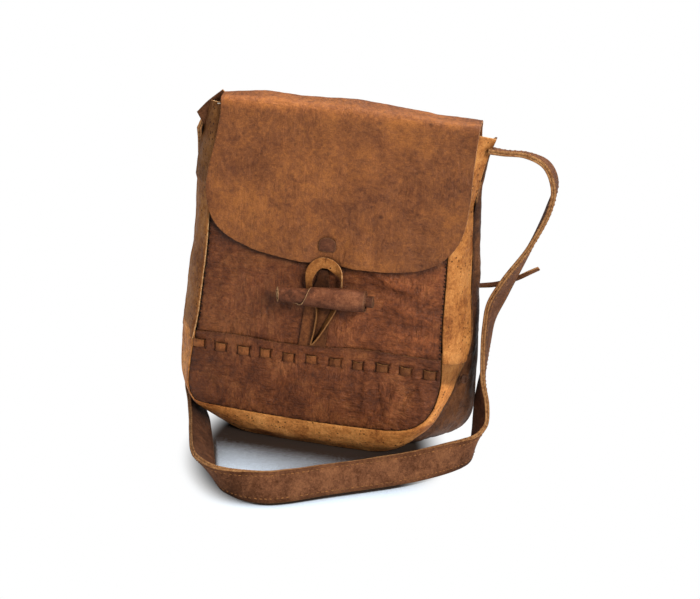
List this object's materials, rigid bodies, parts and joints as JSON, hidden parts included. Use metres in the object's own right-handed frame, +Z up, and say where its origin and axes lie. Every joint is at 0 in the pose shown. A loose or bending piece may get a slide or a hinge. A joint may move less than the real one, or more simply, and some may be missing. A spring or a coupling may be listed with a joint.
{
  "type": "crossbody satchel bag",
  "caption": "Small handmade leather crossbody satchel with a fold-over flap, a loop-and-toggle closure, a laced pocket panel and a long two-layer strap.",
  "frame": {"origin": "on the floor, at the middle of the base's width", "axes": "+Z up, front face towards -Y, +X to the right as seen from the front"},
  "size_m": [0.2881, 0.1735, 0.2681],
  "materials": {
    "panel_leather": "worn, satin",
    "flap_leather": "mottled, satin",
    "rear_leather": "worn, satin",
    "gusset_leather": "matt, pored",
    "strap_suede": "suede",
    "toggle_leather": "worn, satin",
    "lace_leather": "satin",
    "seam_thread": "waxed thread",
    "strap_thread": "waxed thread",
    "white_thread": "thread"
  },
  "bodies": {
    "bag": {"back_panel": "rear_leather", "front_panel": "panel_leather", "pocket_panel": "panel_leather", "middle_divider": "rear_leather", "front_gusset_left": "gusset_leather", "front_gusset_bottom": "gusset_leather", "front_gusset_right": "gusset_leather", "rear_gusset_left": "rear_leather", "rear_gusset_bottom": "rear_leather", "rear_gusset_right": "rear_leather", "front_seam_thread": "seam_thread", "middle_seam_thread": "seam_thread", "rear_seam_thread": "seam_thread", "lace": "lace_leather", "lace_knot": "rear_leather", "strap_tab_left": "strap_suede", "anchor_thread": "white_thread"},
    "fold": {"flap_fold": "flap_leather"},
    "flap": {"flap": "flap_leather", "loop_stop": "toggle_leather"},
    "loop": {"closure_loop": "gusset_leather"},
    "toggle_tab": {"toggle_tab": "panel_leather", "toggle_thong": "toggle_leather"},
    "toggle": {"toggle_core": "toggle_leather", "toggle_wrap": "toggle_leather"},
    "strap": {"strap_outer": "strap_suede", "strap_lining": "strap_suede", "strap_thread": "strap_thread"},
    "side_thong": {"side_thong": "lace_leather"}
  },
  "joints": [
    {"name": "flap_crease_back", "type": "hinge", "parent": "bag", "child": "fold", "pos_m": [0.01, 0.007, 0.266], "axis": [-1, 0, 0], "range_deg": [0, 170]},
    {"name": "flap_crease_front", "type": "hinge", "parent": "fold", "child": "flap", "pos_m": [0.01, -0.013, 0.266], "axis": [-1, 0, 0], "range_deg": [0, 170]},
    {"name": "loop_swing", "type": "hinge", "parent": "flap", "child": "loop", "pos_m": [0.0055, -0.02523, 0.15701], "axis": [-1, 0, 0], "range_deg": [0, 100], "deforming": ["closure_loop"]},
    {"name": "toggle_tab_swing", "type": "hinge", "parent": "bag", "child": "toggle_tab", "pos_m": [0.006, -0.02912, 0.09147], "axis": [1, 0, 0], "range_deg": [0, 75]},
    {"name": "toggle_turn", "type": "hinge", "parent": "toggle_tab", "child": "toggle", "pos_m": [0.006, -0.03869, 0.13184], "axis": [0, -0.9949, 0.101], "range_deg": [-90, 90]},
    {"name": "strap_swing", "type": "hinge", "parent": "bag", "child": "strap", "pos_m": [0.003, 0.008, 0.244], "axis": [-1, 0, 0], "range_deg": [0, 170]},
    {"name": "side_thong_swing", "type": "hinge", "parent": "bag", "child": "side_thong", "pos_m": [0.1158, 0.0225, 0.131], "axis": [0, 1, 0], "range_deg": [-35, 50]}
  ],
  "couplings": [
    {"joint": "flap_crease_front", "follows": "flap_crease_back", "ratio": 1}
  ]
}
